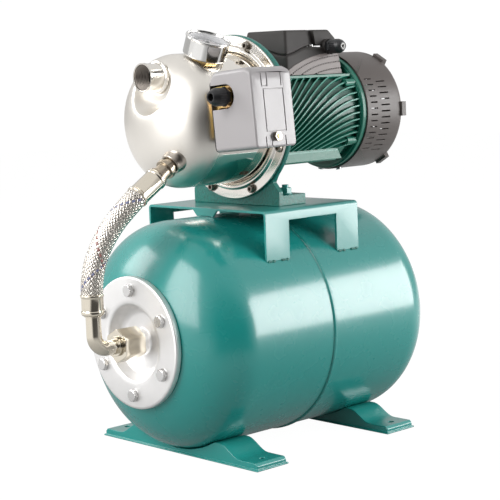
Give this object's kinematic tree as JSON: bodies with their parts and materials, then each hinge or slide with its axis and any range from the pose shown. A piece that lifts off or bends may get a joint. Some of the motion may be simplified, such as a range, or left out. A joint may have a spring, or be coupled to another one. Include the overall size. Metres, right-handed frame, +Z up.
{
  "type": "booster pump set",
  "caption": "Self-priming jet pump on a horizontal pressure tank with platform, braided hose, pressure switch, gauge and finned motor.",
  "frame": {"origin": "on the floor, at the centre of the four floor bolt holes, below the tank's weld seam", "axes": "+X along the pump shaft from the pump towards the motor's fan cover, +Z up, -Y towards the pressure switch"},
  "size_m": [0.4956, 0.2974, 0.496],
  "materials": {
    "tank_enamel": "glossy teal-green enamel",
    "rubber": "black rubber",
    "zinc_plate": "satin zinc plate",
    "brass": "turned brass",
    "steel": "ground steel",
    "black_plastic": "black nylon",
    "nickel": "nickel-plated brass",
    "braid": "stainless wire braid",
    "stainless": "polished stainless",
    "screw_steel": "dark zinc",
    "ceramic": "ceramic seat",
    "cast_green": "enamel on rough casting",
    "motor_green": "satin green enamel",
    "core_steel": "laminated steel",
    "copper": "varnished copper wire",
    "cover_grey": "moulded grey-brown plastic",
    "box_black": "moulded dark plastic",
    "capacitor_white": "white plastic can",
    "yellow_chromate": "yellow chromate steel",
    "switch_grey": "moulded light grey plastic",
    "gauge_steel": "polished steel case",
    "dial_white": "printed white dial",
    "gauge_glass": "clear window"
  },
  "bodies": {
    "pump_set": {"tank_shell_front": "tank_enamel", "tank_shell_rear": "tank_enamel", "tank_bladder": "rubber", "inlet_flange": "zinc_plate", "flange_bolts": "zinc_plate", "foot_front": "tank_enamel", "foot_rear": "tank_enamel", "pump_platform": "tank_enamel", "air_valve": "brass", "air_valve_cap": "black_plastic", "union_nut": "nickel", "hose_elbow": "nickel", "lower_ferrule": "nickel", "braided_hose": "braid", "upper_ferrule": "nickel", "hose_nipple": "nickel", "pump_casing": "stainless", "clamp_ring": "stainless", "casing_screws": "screw_steel", "casing_seal": "rubber", "seal_plate": "stainless", "suction_stub": "stainless", "discharge_stub": "stainless", "ejector": "black_plastic", "diffuser": "black_plastic", "shaft_seal_seat": "ceramic", "motor_bracket": "cast_green", "bracket_bolts": "cast_green", "motor_housing": "motor_green", "stator_core": "core_steel", "stator_windings": "copper", "bearing_outer_rings": "steel", "wave_spring": "steel", "rear_shield": "motor_green", "shield_screws": "steel", "fan_cover": "cover_grey", "cover_screws": "steel", "terminal_box": "box_black", "terminal_lid": "box_black", "terminal_gland": "black_plastic", "capacitor": "capacitor_white", "switch_base": "yellow_chromate", "switch_cover": "switch_grey", "switch_cover_nut": "screw_steel", "switch_glands": "black_plastic", "gauge_case": "gauge_steel", "gauge_dial": "dial_white", "gauge_glass": "gauge_glass"},
    "rotor": {"rotor_core": "core_steel", "rotor_shaft": "steel", "impeller": "brass", "impeller_nut": "steel", "shaft_seal_rotating": "black_plastic", "bearing_inner_rings": "steel", "cooling_fan": "black_plastic"},
    "ball_cages": {"bearing_balls": "steel"},
    "needle": {"gauge_needle": "black_plastic"},
    "plunger": {"switch_plunger": "steel"},
    "lever": {"switch_lever": "yellow_chromate"},
    "valve_core": {"air_valve_core": "steel"}
  },
  "joints": [
    {"name": "rotor_spin", "type": "hinge", "parent": "pump_set", "child": "rotor", "pos_m": [0.068, 0, 0.391], "axis": [1, 0, 0], "continuous": true},
    {"name": "cage_spin", "type": "hinge", "parent": "pump_set", "child": "ball_cages", "pos_m": [0.01, 0, 0.391], "axis": [1, 0, 0], "continuous": true},
    {"name": "needle_turn", "type": "hinge", "parent": "pump_set", "child": "needle", "pos_m": [-0.093, -0.03635, 0.47877], "axis": [0, 0.3827, -0.9239], "range_deg": [0, 270], "stiffness_Nm_per_rad": 0.0004},
    {"name": "plunger_slide", "type": "slide", "parent": "pump_set", "child": "plunger", "axis": [0, -0.9962, 0.0872], "range_m": [0, 0.0015], "stiffness_N_per_m": 900},
    {"name": "lever_tilt", "type": "hinge", "parent": "pump_set", "child": "lever", "pos_m": [-0.101, -0.1107, 0.37057], "axis": [1, 0, 0], "range_deg": [0, 2.87]},
    {"name": "valve_core_push", "type": "slide", "parent": "pump_set", "child": "valve_core", "axis": [-1, 0, 0], "range_m": [0, 0.0012], "stiffness_N_per_m": 500}
  ],
  "couplings": [
    {"joint": "cage_spin", "follows": "rotor_spin", "ratio": 0.383},
    {"joint": "lever_tilt", "follows": "plunger_slide", "rad_per_m": 33.333}
  ]
}
